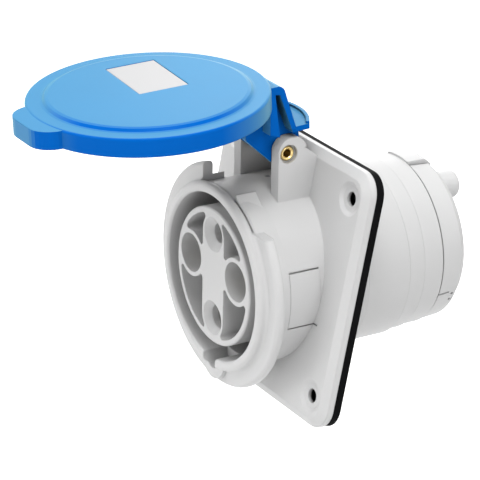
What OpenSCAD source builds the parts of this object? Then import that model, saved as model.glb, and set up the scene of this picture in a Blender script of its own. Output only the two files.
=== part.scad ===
// Angled industrial panel socket, 3 poles and earth, 32 A size, with a hinged lid.
// Origin: centre of the panel face (back of the gasket), -Y to the user, +Z up.
// Most pieces are drawn on the socket's own axis, which leans down by tilt.

/* [Mounting flange] */
// Width of the flange
flange_w = 91; // [88:1:100]
// Height of the flange
flange_h = 89; // [86:1:100]
// Corner radius of the flange
flange_corner = 8; // [5:0.5:9]
// Thickness of the flange at its edge
edge_t = 2.2; // [2:0.1:3]
// Rise of the flange face above its edge
face_rise = 1.8; // [1:0.1:2.4]
// Width of the sloping border of the flange
border_w = 3; // [2:0.25:4]
// Distance between the mounting holes across the flange
hole_dx = 72.4; // [70:0.2:76]
// Distance between the mounting holes up the flange
hole_dz = 68.8; // [66:0.2:72]
// Diameter of the mounting holes
hole_d = 4.8; // [4.2:0.1:5.4]
// Diameter of the flat dish round each mounting hole
dish_d = 8.6; // [8:0.2:9]
// Depth of the dish round each mounting hole
dish_depth = 1; // [0.6:0.1:1.4]
// Thickness of the sealing gasket
gasket_t = 3; // [2:0.25:4]
// Set-back of the gasket from the edge of the flange
gasket_inset = 0.2; // [0:0.1:1]

/* [Socket tube] */
// Angle by which the socket leans down
tilt = 10.9; // [9:0.1:13]
// Distance along the axis from the flange edge plane to the lip
lip_reach = 25.8; // [24:0.2:28]
// Height of the flange centre above the socket axis
axis_drop = 0.7; // [0:0.1:1.5]
// Radius of the plug opening
bore_r = 29; // [28:0.25:29.5]
// Wall of the socket tube
tube_wall = 2.8; // [2.4:0.1:3.2]
// Depth of the plug opening
bore_depth = 38; // [34:0.5:40]
// Extra radius of the lip over the tube
lip_swell = 0.8; // [0.4:0.1:1.2]
// Distance from the lip to the rim
rim_y = 2.8; // [2:0.1:3.4]
// Thickness of the rim
rim_t = 3.7; // [3:0.1:4.5]
// Height of the rim above the tube
rim_h = 6.8; // [6:0.1:7.2]
// Thickness of the step behind the rim
step_t = 4.5; // [3.5:0.1:5.2]
// Height above the socket axis at which the right half of the rim ends
rim_top_z = 23.2; // [20:0.2:26]
// Height of the blocks beside the hinge above the socket axis
block_z = 32.4; // [32:0.1:33]
// Width of the gap in the rim under the lid's hinge plates
rim_gap = 20.4; // [20:0.1:22]
// Width of the key slot
key_w = 8; // [6:0.25:9]
// Depth of the key slot beyond the opening
key_depth = 4.6; // [3.5:0.1:5]
// Length of the key slot
key_len = 9.5; // [7:0.25:10]
// Radius of the moulding round the key slot
key_boss_r = 7.6; // [7:0.1:8]
// Half height of the panels on the sides of the tube
pad_half = 9.8; // [7:0.1:12]
// Length of the side panels
pad_len = 11.3; // [8:0.1:12]
// Start of the side panels behind the lip
pad_y = 12.2; // [11.5:0.1:14]
// Rise of the side panels
pad_rise = 0.15; // [0.1:0.05:0.6]
// Width of the groove along each side panel
pad_groove = 0.5; // [0.4:0.05:0.8]

/* [Rear body] */
// Radius of the rear barrel
barrel_r = 31.2; // [30.4:0.1:31.6]
// Wall of the rear barrel
barrel_wall = 2.4; // [2:0.1:2.8]
// Distance from the lip to the end of the rear barrel
barrel_end = 60; // [58:0.5:62]
// Thickness of the floor between plug opening and terminals
floor_t = 5; // [4:0.25:6]
// Length of the terminal housing behind the barrel
terminal_len = 13.8; // [12.5:0.1:15]
// Step in radius from the barrel to the terminal housing
neck_step = 0.8; // [0.4:0.1:1.2]
// Wall of the terminal housing
terminal_wall = 2.6; // [2.2:0.1:2.8]
// Length of the end cap
cap_len = 11.1; // [10:0.1:14]
// Radius of the end face of the cap
cap_end_r = 26.8; // [26:0.1:28]
// Wall of the end cap
cap_wall = 2.4; // [2:0.1:2.6]
// Half width of the snap latches on the cap
latch_half = 6; // [4:0.25:7]
// Rise of the snap latches
latch_rise = 0.9; // [0.6:0.1:2]
// Diameter of the stub on the end cap
knob_d = 10; // [8:0.25:11]
// Length of the stub behind the end cap
knob_len = 13; // [10:0.25:16]
// Height of the stub above the socket axis
knob_z = 16; // [15:0.25:17.5]
// Diameter of the cable entry in the end cap
entry_d = 21; // [18:0.5:22]
// Distance of the cable entry below the socket axis
entry_drop = 6; // [5:0.25:8]
// Diameter of the hole through the grommet
grommet_hole = 9; // [7:0.5:12]

/* [Contact carrier] */
// Radius of the contact carrier
carrier_r = 23.9; // [23.4:0.1:24.4]
// Wall of the carrier's outer ring
carrier_wall = 2; // [1.6:0.1:2.4]
// Set-back of the carrier behind the lip
carrier_y = 1.1; // [0.5:0.1:2]
// Radius of the circle that the contacts stand on
pitch_r = 15.1; // [14.8:0.05:15.4]
// Angle by which the side contacts sit above the axis
side_angle = 13; // [10:0.5:14]
// Radius of the contact wells
well_r = 6.8; // [6.6:0.05:7]
// Wall of the contact wells
well_wall = 1.5; // [1.2:0.1:1.6]
// Half width of the block between the upper and the lower well
block_half = 6.9; // [6.7:0.1:8]
// Depth of the open pockets in the carrier
pocket_depth = 26; // [20:0.5:28]
// Radius of the corners of the open pockets
pocket_round = 1.1; // [0.5:0.1:1.6]
// Radius of the funnels at their mouths
funnel_r = 6; // [5.6:0.1:6.4]
// Depth of the funnels in the upper and the lower well
funnel_depth = 2.4; // [1.5:0.1:5]
// Radius of the throat of the upper well
throat_top = 3.4; // [3.3:0.05:4.2]
// Radius of the throat of the lower well
throat_low = 4.2; // [3.4:0.05:4.6]
// Length of the throats
throat_len = 2.5; // [1.5:0.25:4]
// Radius of the chamber behind the throats
chamber_r = 5.2; // [5.1:0.05:5.6]

/* [Contacts] */
// Diameter of a phase pin
phase_d = 6; // [5.6:0.1:6.4]
// Diameter of the earth pin
earth_d = 8; // [7.4:0.1:8.4]
// Radial gap between a pin and its sleeve
pin_gap = 0.04; // [0.02:0.01:0.08]
// Wall of a contact sleeve
sleeve_wall = 1.1; // [0.9:0.05:1.2]
// Distance from the lip to the mouth of a sleeve
sleeve_y = 15; // [12:0.25:18]
// Depth of the slits in a sleeve
slit_len = 12; // [8:0.25:13]
// Width of the slits in a sleeve
slit_w = 0.8; // [0.5:0.1:1.2]
// Side of a terminal block
clamp_side = 10; // [9:0.25:10.5]
// Length of a terminal block
clamp_len = 12; // [11:0.25:13]
// Diameter of the wire hole
wire_d = 5; // [4:0.25:5.4]
// Diameter of a terminal screw
screw_d = 4; // [3.5:0.1:4.2]

/* [Lid hinge] */
// Distance from the lip to the hinge pin
pin_y = 21; // [20.5:0.1:21.5]
// Height of the hinge pin above the socket axis
pin_z = 44.7; // [44.5:0.1:45]
// Diameter of the hinge pin
pin_d = 5; // [4.6:0.1:5.2]
// Diameter of the hole through the hinge pin
pin_hole = 2.8; // [2:0.1:3]
// Depth of the recess round each end of the pin
pin_recess = 1.5; // [1:0.1:2]
// Half width over the hinge ears
ear_half = 14.3; // [14:0.1:15]
// Thickness of a hinge ear
ear_t = 4.5; // [4:0.1:4.6]
// Gap between a hinge ear and the lid's hinge plate
ear_gap = 0.4; // [0.3:0.05:0.6]
// Radial gap between the pin and the lid's hinge plates
pin_run = 0.3; // [0.25:0.05:0.4]
// Thickness of the spring wire
wire_d2 = 1.2; // [1:0.1:1.4]
// Number of turns of the spring
coil_turns = 5; // [4:1:7]
// Height of an ear above the pin
ear_rise = 5.5; // [5.2:0.1:6]
// Distance from the pin to the front of an ear
ear_front = 3.9; // [3.6:0.1:4.5]

/* [Lid] */
// Angle by which the lid stands open
open_angle = 86.8; // [86:0.1:88]
// Height of the lid's centre above the socket axis when shut
lid_rise = 1.4; // [0.6:0.1:1.6]
// Radius of the lid
lid_r = 39.5; // [39.2:0.1:41]
// Distance from the lip to the rim of the lid's face
lid_y = 5.4; // [5.2:0.1:6]
// Thickness of the lid plate
lid_t = 2.2; // [1.8:0.1:2.4]
// Depth of the lid's skirt
skirt_h = 6.2; // [5.8:0.1:6.4]
// Wall of the lid's skirt
skirt_wall = 1.8; // [1.6:0.1:2]
// Radius of the raised disc on the lid
disc_r = 34; // [32:0.25:35]
// Rise of the disc on the lid
disc_rise = 1.2; // [0.8:0.1:1.6]
// Half width of the thumb lobe
lobe_half = 12.8; // [11:0.2:14]
// Reach of the thumb lobe from the lid's centre
lobe_reach = 45; // [43:0.25:46]
// Width of the rating plate
label_w = 26.5; // [20:0.5:28]
// Height of the rating plate
label_h = 17; // [14:0.5:18]
// Sideways place of the rating plate
label_x = -11; // [-12:0.25:-8]
// Turn of the rating plate
label_turn = 4; // [-6:0.5:6]
// Place of the rating plate above the lid's centre
label_z = 5.6; // [3:0.2:7]
// Thickness of the rating plate
label_t = 0.4; // [0.3:0.05:0.6]
// Thickness of the hood and tab walls
hood_wall = 1.8; // [1.6:0.1:2.2]
// Thickness of a hinge plate of the lid
plate_t = 2.4; // [2:0.1:2.6]
// Half width of the finger tab
tab_half = 14; // [13:0.1:14.5]
// Reach of the finger tab above the pin
tab_reach = 12.8; // [12:0.1:13.5]
// Thickness of the lid seal
seal_t = 2.7; // [2.5:0.05:2.8]
// Width of the lid seal
seal_w = 4.6; // [3.5:0.1:5]

/* [Hidden] */
$fn = 96;
// small overlap that fuses two solids of one moulding
eps = 0.05;
slack = 0.3;
hole_wall = 1.2;
shell_grey = [0.86, 0.87, 0.88];
lid_blue = [0.10, 0.45, 0.85];
brass = [0.80, 0.62, 0.25];
steel = [0.70, 0.72, 0.74];
rubber = [0.08, 0.08, 0.09];
tube_r = bore_r + tube_wall;
rim_r = tube_r + rim_h;
step_end = rim_y + rim_t + step_t;
floor_back = bore_depth + floor_t;
barrel_in = barrel_r - barrel_wall;
neck_r = barrel_r - neck_step;
neck_in = neck_r - terminal_wall;
cap_y = barrel_end + terminal_len;
cap_r = neck_r - neck_step;
cap_end = cap_y + cap_len;
carrier_flange_r = barrel_in - slack;
carrier_flange_t = 3;
carrier_back = floor_back + carrier_flange_t;
pocket_end = carrier_y + pocket_depth;
clamp_bar = 5;
clamp_x = entry_d / 2 + 1 + 3;
clamp_bar_y = cap_end - cap_wall - 8;
clamp_z = -entry_drop - grommet_hole / 2 + 1;
cap_screw_x = 20.5;
plate_out = ear_half - ear_t - ear_gap;
disc_y = lid_y + disc_rise;
skirt_end = skirt_h - lid_y;
clamp_end = carrier_back + clamp_len;
screw_y = carrier_back + clamp_len * 0.5;
// angle of each contact seen from the user: l1 on top, earth on the left, l2 below, l3 on the right
angle_l1 = 90;
angle_l2 = 270;
angle_l3 = side_angle;
angle_earth = 180 - side_angle;

function arc(cx, cy, r, from, to, n = 8) =
    [for (i = [0:n]) let(a = from + (to - from) * i / n) [cx + r * cos(a), cy + r * sin(a)]];

// places the socket's own axis in the flange frame
module on_axis() {
    translate([0, -gasket_t - edge_t, -axis_drop]) rotate([tilt, 0, 0])
        translate([0, -lip_reach, 0]) children();
}

// swings the lid, drawn closed, to the angle it stands at
module on_hinge() {
    on_axis() translate([0, pin_y, pin_z]) rotate([-open_angle, 0, 0])
        translate([0, -pin_y, -pin_z]) children();
}

// turns a [radius, distance] outline round the socket axis
module turned(outline) {
    rotate([-90, 0, 0]) rotate_extrude($fn = 120) polygon(outline);
}

// extrudes an x-z outline from y0 back by t
module slab(y0, t) {
    translate([0, y0 + t, 0]) rotate([90, 0, 0]) linear_extrude(height = t) children();
}

// extrudes a y-z outline from x0 to the right by w
module side_slab(x0, w) {
    translate([x0, 0, 0]) rotate([90, 0, 90]) linear_extrude(height = w) children();
}

module rod(r, y0, t) {
    translate([0, y0, 0]) rotate([-90, 0, 0]) cylinder(r = r, h = t);
}

module rounded_rect(w, h, r) {
    polygon(concat(
        arc(w / 2 - r, h / 2 - r, r, 0, 90, 10), arc(r - w / 2, h / 2 - r, r, 90, 180, 10),
        arc(r - w / 2, r - h / 2, r, 180, 270, 10), arc(w / 2 - r, r - h / 2, r, 270, 360, 10)));
}

module at_mount_holes() {
    for (x = [-1, 1], z = [-1, 1]) translate([x * hole_dx / 2, 0, z * hole_dz / 2]) children();
}

// the plate with its sloping border
module flange_plate() {
    slab(-gasket_t - edge_t, edge_t) rounded_rect(flange_w, flange_h, flange_corner);
    hull() {
        slab(-gasket_t - edge_t, 0.2) rounded_rect(flange_w, flange_h, flange_corner);
        slab(-gasket_t - edge_t - face_rise, 0.2)
            rounded_rect(flange_w - 2 * border_w, flange_h - 2 * border_w, flange_corner - border_w);
    }
}

module lip_and_tube() {
    lip_r = tube_r + lip_swell;
    turned(concat(
        [[bore_r - 1, floor_back], [bore_r - 1, 0.6]],
        [[bore_r, 0.6], [bore_r + 0.6, 0]],
        arc(lip_r - 1.6, 1.6, 1.6, -90, 0, 5),
        [[lip_r - 0.2, rim_y - 0.3], [tube_r - 0.2, rim_y], [tube_r - 0.2, rim_y + 0.6],
        [tube_r, rim_y + 1], [tube_r, floor_back]]));
}

// outline of the blocks that close the rim beside the hinge
module block_outline() {
    a = rim_gap / 2;
    for (s = [-1, 1]) scale([s, 1])
        polygon([[a, tube_r - 8], [a, block_z], [a + 5.7, block_z - 4.9], [a + 4, tube_r - 8]]);
}

module rim_rings() {
    edge = 1.5;
    dip = 1.2;
    lip_r = tube_r + lip_swell;
    difference() {
        union() {
            difference() {
                turned(concat(
                    [[bore_r + 1, rim_y - dip], [lip_r, rim_y - dip]],
                    arc(lip_r + dip, rim_y - dip, dip, 180, 90, 5),
                    arc(rim_r - edge, rim_y + edge, edge, -90, 0, 6),
                    arc(rim_r - edge, rim_y + rim_t - edge, edge, 0, 90, 6),
                    [[bore_r + 1, rim_y + rim_t]]));
                translate([0, -1, rim_top_z]) cube([2 * rim_r, step_end, rim_r]);
            }
            // low band under the rim, which shows where the rim is cut away
            turned([[bore_r + 1, rim_y + 0.5], [lip_r - 0.2, rim_y + 0.5], [lip_r + 0.2, rim_y + 0.9],
                [lip_r + 0.2, rim_y + rim_t], [tube_r, step_end + 1], [bore_r + 1, step_end + 1]]);
        }
        translate([-rim_gap / 2, -1, 0]) cube([rim_gap, step_end + 3, rim_r + 1]);
    }
    slab(rim_y + 0.5, step_end - rim_y - 0.5) block_outline();
}

module side_pads() {
    intersection() {
        rod(tube_r + pad_rise, pad_y, pad_len);
        translate([-50, pad_y - 1, -pad_half]) cube([100, pad_len + 2, 2 * pad_half]);
    }
}

module pad_grooves() {
    x = sqrt(tube_r * tube_r - pad_half * pad_half) - 0.7;
    for (a = [-1, 1], b = [-1, 1])
        translate([a > 0 ? x : -x - 3, pad_y, b * pad_half - pad_groove / 2])
            cube([3, pad_len, pad_groove]);
}

module key_boss() {
    translate([0, 0, -bore_r - key_depth + key_w / 2]) rod(key_boss_r, 1.4, step_end - 1.5);
}

module key_slot() {
    z = bore_r + key_depth - key_w / 2;
    translate([0, 0, -z]) rod(key_w / 2, -1, key_len + 1);
    translate([-key_w / 2, -1, -z]) cube([key_w, key_len + 1, z - bore_r + 3]);
}

module ear_outline() {
    front = pin_y - ear_front;
    top = pin_z + ear_rise;
    r = 5;
    low = tube_r - tube_wall - 2.5;
    polygon(concat(
        [[front, low]],
        arc(front + r, top - r, r, 180, 90, 8),
        arc(front + r + 1, top - r + 0.2, r - 0.2, 80, 10, 6),
        [[pin_y + 6.2, pin_z + 1.4], [pin_y + 12.6, pin_z - 3.4]],
        [[pin_y + 14, pin_z - 6], [pin_y + 11, low]]));
}

module ears() {
    for (s = [-1, 1]) side_slab(s > 0 ? ear_half - ear_t : -ear_half, ear_t) ear_outline();
}

module barrel() {
    turned([[barrel_in, barrel_end], [barrel_in, floor_back - 1], [bore_r - 3, floor_back - 1],
        [bore_r - 3, lip_reach], [barrel_r, lip_reach], [barrel_r, barrel_end - 0.4],
        [barrel_r - 0.4, barrel_end]]);
}

module carrier_screw_places() {
    for (a = [30, 150, 270]) rotate([0, -a, 0]) translate([(carrier_r + slack + carrier_flange_r) / 2, 0, 0])
        children();
}

module flange_housing() color(shell_grey) difference() {
    union() {
        flange_plate();
        on_axis() {
            lip_and_tube();
            rim_rings();
            side_pads();
            key_boss();
            ears();
            barrel();
        }
    }
    on_axis() {
        rod(bore_r, 0.6, bore_depth - 0.6);
        rod(carrier_r + slack, bore_depth - 1, floor_t + 2);
        rod(barrel_in, floor_back, barrel_end);
        key_slot();
        pad_grooves();
        translate([-0.8, lip_reach - 3.4, tube_r - 0.5]) cylinder(r = 0.9, h = 2);
        translate([-ear_half - 1, pin_y, pin_z]) rotate([0, 90, 0])
            cylinder(d = pin_d + 0.04, h = 2 * ear_half + 2);
        for (s = [-1, 1]) translate([s > 0 ? ear_half - pin_recess : -ear_half - 1, pin_y, pin_z])
            rotate([0, 90, 0]) cylinder(d = pin_d + 1.5, h = pin_recess + 1);
        carrier_screw_places() rod(1.25, floor_back - 3.5, 5);
    }
    at_mount_holes() {
        rod(hole_d / 2, -gasket_t - edge_t - face_rise - 1, edge_t + face_rise + 2);
        translate([0, -gasket_t - edge_t - face_rise + dish_depth, 0]) rotate([90, 0, 0])
            cylinder(d1 = dish_d, d2 = dish_d + 2.8 + 2.8 * 0.2 / dish_depth, h = dish_depth + 0.2);
        rod(hole_d / 2 + 1.9, -gasket_t - edge_t - face_rise + dish_depth + hole_wall, edge_t + 2);
    }
}

module panel_gasket() color(rubber) difference() {
    slab(-gasket_t, gasket_t) rounded_rect(flange_w - 2 * gasket_inset, flange_h - 2 * gasket_inset,
        flange_corner - gasket_inset);
    on_axis() rod(barrel_r + 1.2, lip_reach - 12, 30);
    at_mount_holes() rod(hole_d / 2, -gasket_t - 1, gasket_t + 2);
}

// [radial distance, angle] places for the wells
module at_contact(angle) {
    rotate([0, -angle, 0]) translate([pitch_r, 0, 0]) children();
}

// the open pockets between the ring and the walls of the wells
module carrier_pockets() {
    offset(r = pocket_round, $fn = 32) offset(delta = -pocket_round) difference() {
        circle(r = carrier_r - carrier_wall, $fn = 144);
        for (a = [angle_l3, angle_earth]) rotate(a) translate([pitch_r, 0])
            circle(r = well_r + well_wall);
        for (s = [-1, 1]) translate([0, s * pitch_r]) circle(r = block_half);
        translate([-block_half, -pitch_r]) square([2 * block_half, 2 * pitch_r]);
    }
}

module funnel(angle, throat_r) {
    throat_y = carrier_y + funnel_depth;
    at_contact(angle) {
        translate([0, carrier_y - 0.01, 0]) rotate([-90, 0, 0])
            cylinder(r1 = funnel_r, r2 = throat_r, h = funnel_depth + 0.01);
        rod(throat_r, throat_y - 0.01, throat_len + 0.5);
        rod(chamber_r, throat_y + throat_len, pocket_end - throat_y - throat_len);
    }
}

module contact_carrier() color(shell_grey) on_axis() difference() {
    turned([[0, carrier_y], [carrier_r - 0.4, carrier_y], [carrier_r, carrier_y + 0.4],
        [carrier_r, floor_back], [carrier_flange_r, floor_back],
        [carrier_flange_r, carrier_back], [0, carrier_back]]);
    slab(carrier_y - 1, pocket_depth + 1) carrier_pockets();
    for (a = [angle_l3, angle_earth]) at_contact(a) rod(well_r, carrier_y - 1, pocket_depth + 1);
    funnel(angle_l1, throat_top);
    funnel(angle_l2, throat_low);
    for (a = [angle_l1, angle_l2, angle_l3]) at_contact(a) rod(sleeve_out(phase_d), pocket_end - 1, 40);
    at_contact(angle_earth) rod(sleeve_out(earth_d), pocket_end - 1, 40);
    carrier_screw_places() rod(1.6, floor_back - 1, carrier_flange_t + 2);
}

function sleeve_in(d) = d / 2 + pin_gap;
function sleeve_out(d) = sleeve_in(d) + sleeve_wall;

module contact(d, angle) {
    on_axis() at_contact(angle) difference() {
        union() {
            rod(sleeve_out(d), sleeve_y, carrier_back - sleeve_y + eps);
            translate([-clamp_side / 2, carrier_back, -clamp_side / 2])
                cube([clamp_side, clamp_len, clamp_side]);
        }
        rod(sleeve_in(d), sleeve_y - 1, carrier_back - sleeve_y - 1);
        for (a = [0, 90]) rotate([0, a, 0]) translate([-clamp_side, sleeve_y - 1, -slit_w / 2])
            cube([2 * clamp_side, slit_len, slit_w]);
        rod(wire_d / 2, clamp_end - clamp_len + 2, clamp_len);
        translate([0, screw_y, 0]) rotate([0, 90, 0]) cylinder(d = screw_d, h = clamp_side);
    }
}

module contact_l1() color(brass) contact(phase_d, angle_l1);
module contact_l2() color(brass) contact(phase_d, angle_l2);
module contact_l3() color(brass) contact(phase_d, angle_l3);
module contact_earth() color(brass) contact(earth_d, angle_earth);

module tension_ring(d, angle) {
    at_contact(angle) difference() {
        rod(sleeve_out(d) + 0.6, sleeve_y + 2, 2.2);
        rod(sleeve_out(d), sleeve_y + 1, 5);
    }
}

module contact_rings() color(steel) on_axis() {
    for (a = [angle_l1, angle_l2, angle_l3]) tension_ring(phase_d, a);
    tension_ring(earth_d, angle_earth);
}

module terminal_screws() color(steel) on_axis() {
    for (a = [angle_l1, angle_l2, angle_l3, angle_earth]) at_contact(a)
        translate([wire_d / 2, screw_y, 0]) rotate([0, 90, 0]) difference() {
            cylinder(d = screw_d - 0.04, h = clamp_side / 2 + 1.2 - wire_d / 2);
            translate([-0.4, -screw_d, clamp_side / 2 + 0.4 - wire_d / 2])
                cube([0.8, 2 * screw_d, 2]);
        }
}

module carrier_screws() color(steel) on_axis() carrier_screw_places() {
    difference() {
        union() {
            rod(1.23, floor_back - 3.2, carrier_flange_t + 3.3);
            rod(1.8, carrier_back, 1.4);
        }
        translate([-0.3, carrier_back + 0.8, -3]) cube([0.6, 2, 6]);
    }
}

module terminal_housing() color(shell_grey) on_axis() difference() {
    union() {
        turned([[neck_in, barrel_end - 7], [barrel_in - 0.15, barrel_end - 7],
            [barrel_in - 0.15, barrel_end], [neck_r, barrel_end], [neck_r, barrel_end + 6],
            [neck_r - 0.5, barrel_end + 6.4], [neck_r - 0.5, cap_y], [neck_in, cap_y]]);
        cap_posts();
    }
    for (s = [-1, 1]) translate([s * cap_screw_x, 0, -2]) rod(1.3, cap_end - 13, 20);
}

module rear_cap() color(shell_grey) on_axis() difference() {
    union() {
        turned(concat(
            [[neck_in - 0.15 - 2, cap_y - 4], [neck_in - 0.15, cap_y - 4], [neck_in - 0.15, cap_y],
            [cap_r - 0.9, cap_y], [cap_r - 0.9, cap_y + 0.5], [cap_r, cap_y + 0.5],
            [cap_r - 0.5, cap_end - 3]],
            arc(cap_end_r - 1, cap_end - 1.4, 1.4, 20, 90, 4),
            [[0, cap_end], [0, cap_end - cap_wall], [cap_r - cap_wall - 2, cap_end - cap_wall],
            [cap_r - cap_wall - 1, cap_y + 2], [neck_in - 2.15, cap_y]]));
        for (a = [0, 180]) rotate([0, a, 0]) latch_rear();
        clamp_posts();
    }
    translate([0, 0, -entry_drop]) rod(entry_d / 2, cap_end - 10, 20);
    translate([0, 0, knob_z]) rod(knob_d / 2 - 1.5, cap_end - 10, 20);
    for (s = [-1, 1]) translate([s * cap_screw_x, 0, -2]) rod(1.6, cap_end - 10, 20);
    at_clamp_screws() translate([0, 0, -1]) cylinder(r = 1.3, h = 5.5);
    // slots beside the latches
    for (a = [0, 180], s = [-1, 1]) rotate([0, a, 0])
        translate([s * (latch_half + 0.4) - 0.4, cap_y - 1, cap_r - 2]) cube([0.8, cap_len - 1, 4]);
    // short grooves low on both sides, each with two ejector marks behind
    for (s = [-1, 1]) rotate([0, s > 0 ? 23 : 157, 0]) {
        translate([cap_r - 0.6, cap_y - 1, -0.3]) cube([2, 6, 0.6]);
        for (t = [-1, 1]) translate([cap_r - 1.3, cap_y + 6.6, -s * 2.6 + t * 1.5])
            rotate([0, 90, 0]) cylinder(r = 0.5, h = 3);
    }
}

module latch_rear() {
    intersection() {
        turned([[cap_r - 2, cap_y], [cap_r + latch_rise, cap_y], [cap_r + latch_rise, cap_end - 4],
            [cap_r - 1, cap_end - 1.6], [cap_r - 2, cap_end - 1.6]]);
        translate([-latch_half, cap_y - 10, 0]) cube([2 * latch_half, cap_len + 10, 60]);
    }
}

module cap_screws() color(steel) on_axis() for (s = [-1, 1]) translate([s * cap_screw_x, 0, -2]) difference() {
    union() {
        rod(1.27, cap_end - 12, 12.1);
        rod(2.8, cap_end, 1.6);
    }
    translate([-0.4, cap_end + 0.8, -4]) cube([0.8, 2, 8]);
}

module cap_knob() color(shell_grey) on_axis() translate([0, 0, knob_z]) {
    r = knob_d / 2;
    turned(concat([[0, cap_end - 4], [r - 1.6, cap_end - 4], [r - 1.6, cap_end], [r, cap_end]],
        arc(r - 2, cap_end + knob_len - 2, 2, 0, 90, 5), [[0, cap_end + knob_len]]));
}

module cable_grommet() color(rubber) on_axis() translate([0, 0, -entry_drop]) {
    r = entry_d / 2;
    turned([[grommet_hole / 2, cap_end - cap_wall - 1.4], [r + 1, cap_end - cap_wall - 1.4],
        [r + 1, cap_end - cap_wall], [r, cap_end - cap_wall], [r, cap_end], [r + 1.4, cap_end],
        [r + 1.4, cap_end + 1], [r - 1, cap_end + 2.4], [grommet_hole / 2 + 1, cap_end + 2.4],
        [grommet_hole / 2, cap_end + 1.4]]);
}

module at_clamp_screws() {
    for (s = [-1, 1]) translate([s * clamp_x, clamp_bar_y + clamp_bar / 2, clamp_z]) children();
}

module cord_clamp() color(shell_grey) on_axis() difference() {
    translate([-clamp_x - 3, clamp_bar_y, clamp_z - clamp_bar])
        cube([2 * clamp_x + 6, clamp_bar, clamp_bar]);
    translate([0, 0, -entry_drop]) rod(grommet_hole / 2, cap_y - 10, 40);
    at_clamp_screws() translate([0, 0, -10]) cylinder(r = 1.3, h = 20);
}

module clamp_screws() color(steel) on_axis() at_clamp_screws() {
    translate([0, 0, -clamp_bar - 0.5]) cylinder(r = 1.27, h = clamp_bar + 4);
    translate([0, 0, -clamp_bar - 1.4]) cylinder(r = 2.4, h = 1.4);
}

// posts inside the cap that carry the cord clamp
module clamp_posts() {
    for (s = [-1, 1]) translate([s * clamp_x - 2.4, clamp_bar_y, clamp_z])
        cube([4.8, cap_end - cap_wall - clamp_bar_y + 0.5, 6.5]);
}

// posts of the terminal housing that the cap screws run into
module cap_posts() {
    for (s = [-1, 1]) {
        translate([s * cap_screw_x, 0, -2]) rod(3.2, barrel_end, cap_end - cap_wall - barrel_end);
        translate([s > 0 ? cap_screw_x : -neck_in - 0.5, barrel_end, -3.5])
            cube([neck_in + 0.5 - cap_screw_x, terminal_len - 4.4, 3]);
    }
}

module hinge_pin() color(brass) on_axis() translate([0, pin_y, pin_z]) rotate([0, 90, 0]) {
    end = ear_half - 0.7;
    r = pin_d / 2;
    b = pin_hole / 2;
    rotate_extrude($fn = 60) polygon([[b, 0.4 - end], [b + 0.4, -end], [r - 0.4, -end],
        [r, 0.4 - end], [r, end - 0.4], [r - 0.4, end], [b + 0.4, end], [b, end - 0.4]]);
}

// the coil is one turned sleeve with a ridge for each turn of wire
module lid_spring() color(steel) on_axis() translate([0, pin_y, pin_z]) {
    inner = pin_d / 2 + 0.3;
    coil = inner + wire_d2 / 2;
    span = coil_turns * wire_d2;
    rotate([0, 90, 0]) rotate_extrude($fn = 60) polygon(concat(
        [[inner, -span / 2]],
        [for (i = [0:coil_turns - 1], a = [-60:30:60])
            [coil + wire_d2 / 2 * cos(a), (i + 0.5) * wire_d2 - span / 2 + wire_d2 / 2 * sin(a)]],
        [[inner, span / 2]]));
    translate([span / 2 - wire_d2 / 2, coil, tube_r - pin_z + 0.25])
        cylinder(d = wire_d2 - 0.1, h = pin_z - tube_r - 0.25);
    translate([wire_d2 / 2 - span / 2, -1.9, 2]) rotate([8.4, 0, 0]) cylinder(d = wire_d2 - 0.1, h = 12);
}

module lobe_outline() {
    r = 8;
    polygon(concat([[-lobe_half - 1.2, -lid_r + 6], [-lobe_half - 1.2, -lid_r + 3.4]],
        arc(-lobe_half + r, -lobe_reach + r, r, 180, 270, 8),
        arc(lobe_half - r, -lobe_reach + r, r, 270, 360, 8),
        [[lobe_half + 1.2, -lid_r + 3.4], [lobe_half + 1.2, -lid_r + 6]]));
}

module lobe_inner() {
    r = 8 - skirt_wall;
    polygon(concat([[-lobe_half + skirt_wall, -lid_r + 6]],
        arc(-lobe_half + 8, -lobe_reach + 8, r, 180, 270, 8),
        arc(lobe_half - 8, -lobe_reach + 8, r, 270, 360, 8),
        [[lobe_half - skirt_wall, -lid_r + 6]]));
}

module hood_outline() {
    w = hood_wall;
    y1 = pin_y - 8;
    polygon(concat(
        [[-lid_y + 2.1, rim_r - 0.1], [y1, rim_r - 0.7], [y1 + 1.4, rim_r + 3]],
        [[0.2 - lid_y + 4.6, rim_r - 0.1 + w], [-0.3 - lid_y + 5.4, rim_r + 3.4],
        [3.8, rim_r + 4.7], [pin_y - 8.1, rim_r + 7.6]],
        [[pin_y - 8.4, rim_r + 9.3], [3.6, rim_r + 6.7]],
        arc(-lid_y + 5, rim_r + 2.6, 2.9, 100, 170, 5)));
}

module plate_outline(boss_r) {
    low = tube_r - 0.3;
    lip = tube_r + lip_swell + 1.3;
    back = pin_y - 8.9;
    polygon(concat(
        [[-lid_y + lid_t, lip], [rim_y + 0.4, lip], [rim_y + 0.9, low], [pin_y - 6.1, low]],
        arc(pin_y, pin_z, boss_r, -50, 30, 10),
        [[pin_y - 1.6, pin_z + 6.9], [back, pin_z + 6.9], [back, rim_r + 8.6], [3.8, rim_r + 5.6],
        [-lid_y + 4.6, rim_r + 4], [-lid_y + 3.2, rim_r + 1]]));
}

module tab_outline() {
    r = 24.2;
    half = asin(tab_half / r);
    top = pin_z + tab_reach;
    polygon(concat([[-tab_half, rim_r + 8]], arc(0, top - r, r, 90 + half, 90 - half, 12),
        [[tab_half, rim_r + 8]]));
}

module tab_rim_outline() {
    r = 24.2;
    half = asin(tab_half / r);
    top = pin_z + tab_reach;
    polygon(concat(arc(0, top - r, r, 90 + half, 90 - half, 12),
        arc(0, top - r, r - 1.2, 90 - half, 90 + half, 12)));
}

module at_label() {
    translate([label_x, 0, lid_rise + label_z]) rotate([0, label_turn, 0]) children();
}

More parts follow.
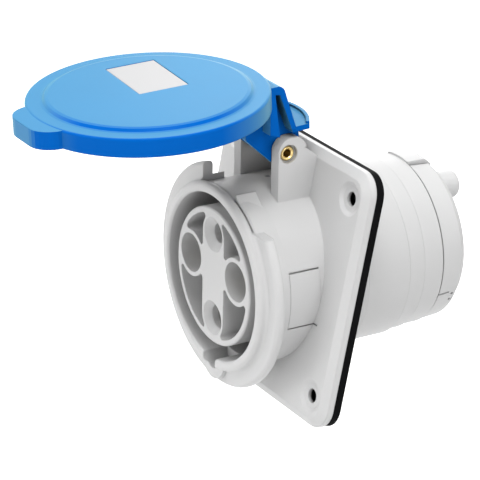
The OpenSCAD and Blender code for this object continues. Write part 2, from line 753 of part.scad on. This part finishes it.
module lid_shell() {
    difference() {
        union() {
            turned(concat(
                [[0, -lid_y + lid_t], [0, -disc_y], [disc_r - 1.9, -disc_y],
                [disc_r - 0.9, -disc_y + 0.25], [disc_r - 0.1, -lid_y - 0.15], [disc_r + 0.7, -lid_y],
                [lid_r - 1, -lid_y]],
                arc(lid_r - 0.8, -lid_y + 0.8, 0.8, -80, 0, 4),
                [[lid_r, skirt_end], [lid_r - skirt_wall, skirt_end],
                [lid_r - skirt_wall, -lid_y + lid_t]]));
            slab(-lid_y + 0.2, skirt_h - 0.2) lobe_outline();
        }
        slab(-lid_y + lid_t, skirt_h) lobe_inner();
        rod(lid_r - skirt_wall, -lid_y + lid_t, skirt_h);
    }
}

module lid_cover() color(lid_blue) on_hinge() difference() {
    union() {
        translate([0, 0, lid_rise]) lid_shell();
        side_slab(-ear_half, 2 * ear_half) hood_outline();
        side_slab(plate_out - plate_t, plate_t) plate_outline(5.2);
        side_slab(-plate_out, plate_t) plate_outline(4);
        slab(pin_y - 8.9, hood_wall) tab_outline();
        slab(pin_y - 9.7, 0.9) tab_rim_outline();
    }
    translate([-ear_half - 1, pin_y, pin_z]) rotate([0, 90, 0])
        cylinder(d = pin_d + 2 * pin_run, h = 2 * ear_half + 2);
    at_label() translate([-label_w / 2 - 0.2, -disc_y - 1, -label_h / 2 - 0.2])
        cube([label_w + 0.4, 1 + label_t + 0.1, label_h + 0.4]);
}

module lid_seal() color(rubber) on_hinge() translate([0, 0, lid_rise]) {
    r = (bore_r + tube_r) / 2;
    turned([[r - seal_w / 2, -lid_y + lid_t], [r - seal_w / 2, -lid_y + lid_t + seal_t - 0.6],
        [r - seal_w / 2 + 0.8, -lid_y + lid_t + seal_t], [r + seal_w / 2 - 0.8, -lid_y + lid_t + seal_t],
        [r + seal_w / 2, -lid_y + lid_t + seal_t - 0.6], [r + seal_w / 2, -lid_y + lid_t]]);
}

module lid_label() color("white") on_hinge() at_label()
    translate([-label_w / 2, -disc_y + 0.1, -label_h / 2]) cube([label_w, label_t, label_h]);

flange_housing();
panel_gasket();
contact_carrier();
contact_l1();
contact_l2();
contact_l3();
contact_earth();
contact_rings();
terminal_screws();
carrier_screws();
terminal_housing();
rear_cap();
cap_screws();
cap_knob();
cable_grommet();
cord_clamp();
clamp_screws();
hinge_pin();
lid_spring();
lid_cover();
lid_seal();
lid_label();
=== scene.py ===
import math
import bpy
from mathutils import Euler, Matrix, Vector


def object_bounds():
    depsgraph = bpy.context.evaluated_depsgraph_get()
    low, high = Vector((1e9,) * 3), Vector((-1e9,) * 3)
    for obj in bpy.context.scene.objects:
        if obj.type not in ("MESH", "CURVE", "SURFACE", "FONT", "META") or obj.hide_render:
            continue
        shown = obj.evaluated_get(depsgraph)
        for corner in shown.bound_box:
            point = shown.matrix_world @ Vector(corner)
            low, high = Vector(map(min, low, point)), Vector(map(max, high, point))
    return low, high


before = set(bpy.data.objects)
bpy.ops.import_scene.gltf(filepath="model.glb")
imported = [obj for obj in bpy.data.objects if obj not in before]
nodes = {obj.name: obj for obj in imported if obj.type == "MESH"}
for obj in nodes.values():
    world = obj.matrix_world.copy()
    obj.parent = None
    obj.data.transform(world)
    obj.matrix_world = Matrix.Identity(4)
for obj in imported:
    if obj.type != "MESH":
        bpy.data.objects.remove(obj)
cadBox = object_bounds()
print("frame loaded,", len(nodes), "solids")


def newMaterial(name):
    mat = bpy.data.materials.new(name)
    mat.use_nodes = True
    tree = mat.node_tree
    shader = tree.nodes["Principled BSDF"]
    coord = tree.nodes.new("ShaderNodeTexCoord")
    return mat, tree, shader, coord


def noiseOn(tree, coord, scale, detail):
    noise = tree.nodes.new("ShaderNodeTexNoise")
    noise.inputs["Scale"].default_value = scale
    noise.inputs["Detail"].default_value = detail
    tree.links.new(coord.outputs["Object"], noise.inputs["Vector"])
    return noise.outputs["Fac"]


def rampOn(tree, source, low, high, at=(0.3, 0.7)):
    ramp = tree.nodes.new("ShaderNodeValToRGB")
    for stop, place, colour in zip(ramp.color_ramp.elements, at, (low, high)):
        stop.position = place
        stop.color = (*colour, 1)
    tree.links.new(source, ramp.inputs["Fac"])
    return ramp.outputs["Color"]


def rangeOn(tree, source, to, start=(0.0, 1.0)):
    mapped = tree.nodes.new("ShaderNodeMapRange")
    mapped.inputs["From Min"].default_value = start[0]
    mapped.inputs["From Max"].default_value = start[1]
    mapped.inputs["To Min"].default_value = to[0]
    mapped.inputs["To Max"].default_value = to[1]
    tree.links.new(source, mapped.inputs["Value"])
    return mapped.outputs["Result"]


def mathOn(tree, operation, first, second):
    maths = tree.nodes.new("ShaderNodeMath")
    maths.operation = operation
    tree.links.new(first, maths.inputs[0])
    tree.links.new(second, maths.inputs[1])
    return maths.outputs[0]


def scaledBy(tree, colour, factor):
    scaled = tree.nodes.new("ShaderNodeVectorMath")
    scaled.operation = "SCALE"
    tree.links.new(colour, scaled.inputs[0])
    tree.links.new(factor, scaled.inputs["Scale"])
    return scaled.outputs["Vector"]


nodeSamples = 6


def softEdges(tree, shader, edge, grainFrom, grain, grainDepth):
    # rounds the moulded edges a little and lays the surface grain on top
    bevel = tree.nodes.new("ShaderNodeBevel")
    bevel.samples = nodeSamples
    bevel.inputs["Radius"].default_value = edge
    bump = tree.nodes.new("ShaderNodeBump")
    bump.inputs["Strength"].default_value = grain
    bump.inputs["Distance"].default_value = grainDepth
    tree.links.new(bevel.outputs["Normal"], bump.inputs["Normal"])
    tree.links.new(grainFrom, bump.inputs["Height"])
    tree.links.new(bump.outputs["Normal"], shader.inputs["Normal"])


def aoPaintedShade(tree, reach, low, high, least, local):
    # painted shade: a factor that falls from 1 in the open to its least value deep in a hollow, darkening
    # the colour where shade falls
    shadeOcclusion = tree.nodes.new("ShaderNodeAmbientOcclusion")
    shadeOcclusion.samples = nodeSamples
    shadeOcclusion.only_local = local
    shadeOcclusion.inputs["Distance"].default_value = reach
    return rangeOn(tree, shadeOcclusion.outputs["AO"], (least, 1.0), (low, high))


def mouldedPlastic(name, colour, shade, rough, edge, sheen, paintedShade=None):
    mat, tree, shader, coord = newMaterial(name)
    cloud = noiseOn(tree, coord, 26.0, 4.0)
    tint = rampOn(tree, cloud, tuple(c * shade for c in colour), colour)
    # painted shade: the colour is darkened in hollows, creases and where other parts come close
    if paintedShade:
        tint = scaledBy(tree, tint, aoPaintedShade(tree, **paintedShade))
    tree.links.new(tint, shader.inputs["Base Color"])
    tree.links.new(rangeOn(tree, cloud, rough), shader.inputs["Roughness"])
    shader.inputs["Specular IOR Level"].default_value = sheen
    softEdges(tree, shader, edge, noiseOn(tree, coord, 900.0, 2.0), grain=0.25, grainDepth=0.00004)
    return mat


def bareMetal(name, colour, shade, rough, edge):
    mat, tree, shader, coord = newMaterial(name)
    shader.inputs["Metallic"].default_value = 1.0
    cloud = noiseOn(tree, coord, 160.0, 5.0)
    tint = rampOn(tree, cloud, tuple(c * shade for c in colour), colour)
    tree.links.new(tint, shader.inputs["Base Color"])
    tree.links.new(rangeOn(tree, cloud, rough), shader.inputs["Roughness"])
    softEdges(tree, shader, edge, noiseOn(tree, coord, 1400.0, 2.0), grain=0.3, grainDepth=0.00003)
    return mat


def sealRubber(name, colour, lift, rough, edge, sheen):
    mat, tree, shader, coord = newMaterial(name)
    cloud = noiseOn(tree, coord, 60.0, 4.0)
    tint = rampOn(tree, cloud, colour, tuple(c * lift for c in colour))
    tree.links.new(tint, shader.inputs["Base Color"])
    shader.inputs["Roughness"].default_value = rough
    shader.inputs["Specular IOR Level"].default_value = sheen
    softEdges(tree, shader, edge, noiseOn(tree, coord, 1200.0, 3.0), grain=0.5, grainDepth=0.00005)
    return mat


def glossyBlue(name, facing, glancingSheen, bounce, mottle, rough, edge, sheen, paintedShade):
    # the blue is deep on faces turned to the eye and lighter on those seen at a low angle, a painted
    # reflection of the white surroundings
    mat, tree, shader, coord = newMaterial(name)
    cloud = noiseOn(tree, coord, 30.0, 4.0)
    angle = tree.nodes.new("ShaderNodeLayerWeight")
    angle.inputs["Blend"].default_value = 0.5
    sheenPaintedBlue = rampOn(tree, angle.outputs["Facing"], facing, glancingSheen, at=(0.25, 0.75))
    # random mottle times painted shade, which darkens the lid's hollows and the inside of the hood
    mottleTimesShade = mathOn(tree, "MULTIPLY", rangeOn(tree, cloud, mottle), aoPaintedShade(tree, **paintedShade))
    # light that comes back off the lid is kept grey, so that the body stays neutral
    ray = tree.nodes.new("ShaderNodeLightPath")
    neutral = tree.nodes.new("ShaderNodeMix")
    neutral.data_type = "RGBA"
    factorIn, firstIn, secondIn = (neutral.inputs[i] for i in (0, 6, 7))
    tree.links.new(ray.outputs["Is Diffuse Ray"], factorIn)
    tree.links.new(scaledBy(tree, sheenPaintedBlue, mottleTimesShade), firstIn)
    secondIn.default_value = (*bounce, 1)
    tree.links.new(neutral.outputs[2], shader.inputs["Base Color"])
    tree.links.new(rangeOn(tree, cloud, rough), shader.inputs["Roughness"])
    shader.inputs["Specular IOR Level"].default_value = sheen
    softEdges(tree, shader, edge, noiseOn(tree, coord, 700.0, 2.0), grain=0.1, grainDepth=0.00004)
    return mat


# the housing grey carries painted shade in its hollows and under nearby parts
housing = {
    "colour": (0.62, 0.62, 0.62), "shade": 0.97, "rough": (0.40, 0.52), "edge": 0.0007, "sheen": 0.4,
    "paintedShade": {"reach": 0.012, "low": 0.08, "high": 0.5, "least": 0.35, "local": False},
}
housingGrey = mouldedPlastic("housingGrey", **housing)

insert = {"colour": (0.58, 0.58, 0.58), "shade": 0.97, "rough": (0.38, 0.5), "edge": 0.0004, "sheen": 0.4}
insertGrey = mouldedPlastic("insertGrey", **insert)

plate = {"colour": (0.45, 0.45, 0.455), "shade": 0.97, "rough": (0.34, 0.46), "edge": 0.0001, "sheen": 0.3}
plateWhite = mouldedPlastic("plateWhite", **plate)

# the lighter glancing colour is a painted reflection, and the lid's hollows get painted shade
lid = {
    "facing": (0.0003, 0.118, 0.51), "glancingSheen": (0.085, 0.30, 0.475), "bounce": (0.14, 0.14, 0.14),
    "mottle": (0.95, 1.05), "rough": (0.28, 0.38), "edge": 0.0006, "sheen": 0.03,
    "paintedShade": {"reach": 0.02, "low": 0.08, "high": 0.4, "least": 0.1, "local": True},
}
lidBlue = glossyBlue("lidBlue", **lid)

seal = {"colour": (0.0025, 0.0025, 0.0028), "lift": 1.8, "rough": 0.7, "edge": 0.0003, "sheen": 0.04}
sealBlack = sealRubber("sealBlack", **seal)

brass = {"colour": (0.84, 0.64, 0.28), "shade": 0.8, "rough": (0.22, 0.38), "edge": 0.0002}
pinBrass = bareMetal("pinBrass", **brass)

zinc = {"colour": (0.66, 0.67, 0.69), "shade": 0.8, "rough": (0.22, 0.38), "edge": 0.0002}
screwZinc = bareMetal("screwZinc", **zinc)
print("finishes ready")

finishOf = {
    "flange_housing": housingGrey, "terminal_housing": housingGrey, "rear_cap": housingGrey,
    "cap_knob": housingGrey, "contact_carrier": insertGrey, "cord_clamp": insertGrey,
    "panel_gasket": sealBlack, "cable_grommet": sealBlack, "lid_seal": sealBlack,
    "lid_cover": lidBlue, "lid_label": plateWhite, "hinge_pin": pinBrass,
    "contact_l1": pinBrass, "contact_l2": pinBrass, "contact_l3": pinBrass, "contact_earth": pinBrass,
}
for name, solid in nodes.items():
    solid.data.materials.clear()
    solid.data.materials.append(finishOf.get(name, screwZinc))
print("solids dressed")

# studio
lampSettings = {
    "top": {"at": (-0.15, -0.15, 0.75), "size": 0.5, "power": 2.9},
    "key": {"at": (0.45, -0.30, 0.75), "size": 0.4, "power": 4.4},
    "front": {"at": (0.10, -0.90, 0.30), "size": 0.6, "power": 3.1},
    "left": {"at": (-0.65, -0.65, 0.35), "size": 0.5, "power": 2.7},
    "right": {"at": (0.95, 0.05, 0.10), "size": 0.5, "power": 1.1},
    "rightRear": {"at": (0.75, 0.50, 0.40), "size": 0.5, "power": 1.6},
    "topRear": {"at": (0.15, 0.50, 0.75), "size": 0.5, "power": 1.2},
    "leftRear": {"at": (-0.80, 0.55, 0.40), "size": 0.5, "power": 2.2},
}


def softLamp(name, at, size, power):
    light = bpy.data.lights.new(name, "AREA")
    light.shape = "SQUARE"
    light.size = size
    light.energy = power
    lamp = bpy.data.objects.new(name, light)
    lamp.location = at
    lamp.rotation_euler = (lampAim - Vector(at)).to_track_quat("-Z", "Y").to_euler()
    bpy.context.collection.objects.link(lamp)


lampAim = Vector((0, 0, 0.01))
for name, values in lampSettings.items():
    softLamp(name + "Lamp", **values)


def sightOn(tree):
    # 1 where the eye, a reflection or a refraction looks, and 0 for the light that falls on things
    ray = tree.nodes.new("ShaderNodeLightPath")
    seen = mathOn(tree, "MAXIMUM", ray.outputs["Is Camera Ray"], ray.outputs["Is Glossy Ray"])
    return mathOn(tree, "MAXIMUM", seen, ray.outputs["Is Transmission Ray"])


ground = {
    "size": 8, "drop": 0.16, "colour": (0.86, 0.86, 0.86), "rough": 0.9,
    "nearAndFar": (0.2, 0.8), "lift": (0.5, 0.95),
}
bpy.ops.mesh.primitive_plane_add(size=ground["size"], location=(0, 0, cadBox[0][2] - ground["drop"]))
floor = bpy.context.object
floor.name = "studioFloor"
floorPaint = bpy.data.materials.new("floorPaint")
floorPaint.use_nodes = True
tree = floorPaint.node_tree
floorShader = tree.nodes["Principled BSDF"]
floorShader.inputs["Base Color"].default_value = (*ground["colour"], 1)
floorShader.inputs["Roughness"].default_value = ground["rough"]
floorShader.inputs["Specular IOR Level"].default_value = 0.0
# where it is seen, the floor is lifted towards white, less so near the object so that it takes the shadow
floorShader.inputs["Emission Color"].default_value = (1, 1, 1, 1)
spot = tree.nodes.new("ShaderNodeTexCoord")
away = tree.nodes.new("ShaderNodeVectorMath")
away.operation = "LENGTH"
tree.links.new(spot.outputs["Object"], away.inputs[0])
lift = rangeOn(tree, away.outputs["Value"], ground["lift"], ground["nearAndFar"])
tree.links.new(mathOn(tree, "MULTIPLY", lift, sightOn(tree)), floorShader.inputs["Emission Strength"])
floor.data.materials.append(floorPaint)

sky = {"fill": 0.15, "seen": 1.0}
world = bpy.data.worlds.new("studioWorld")
bpy.context.scene.world = world
world.use_nodes = True
tree = world.node_tree
backdrop = tree.nodes["Background"]
backdrop.inputs["Color"].default_value = (1, 1, 1, 1)
tree.links.new(rangeOn(tree, sightOn(tree), (sky["fill"], sky["seen"])), backdrop.inputs["Strength"])

view = {"at": (0.69318, -0.48966, 0.25398), "turn": (73.311, -10.237, 59.010), "lens": 195.55, "sensor": 36}
camera = bpy.data.objects.new("camera", bpy.data.cameras.new("camera"))
bpy.context.collection.objects.link(camera)
camera.location = view["at"]
camera.rotation_euler = Euler([math.radians(angle) for angle in view["turn"]], "XYZ")
camera.data.lens = view["lens"]
camera.data.sensor_width = view["sensor"]
camera.data.clip_start = 0.01
bpy.context.scene.camera = camera
bpy.context.scene.view_settings.view_transform = "Standard"
print("studio ready")
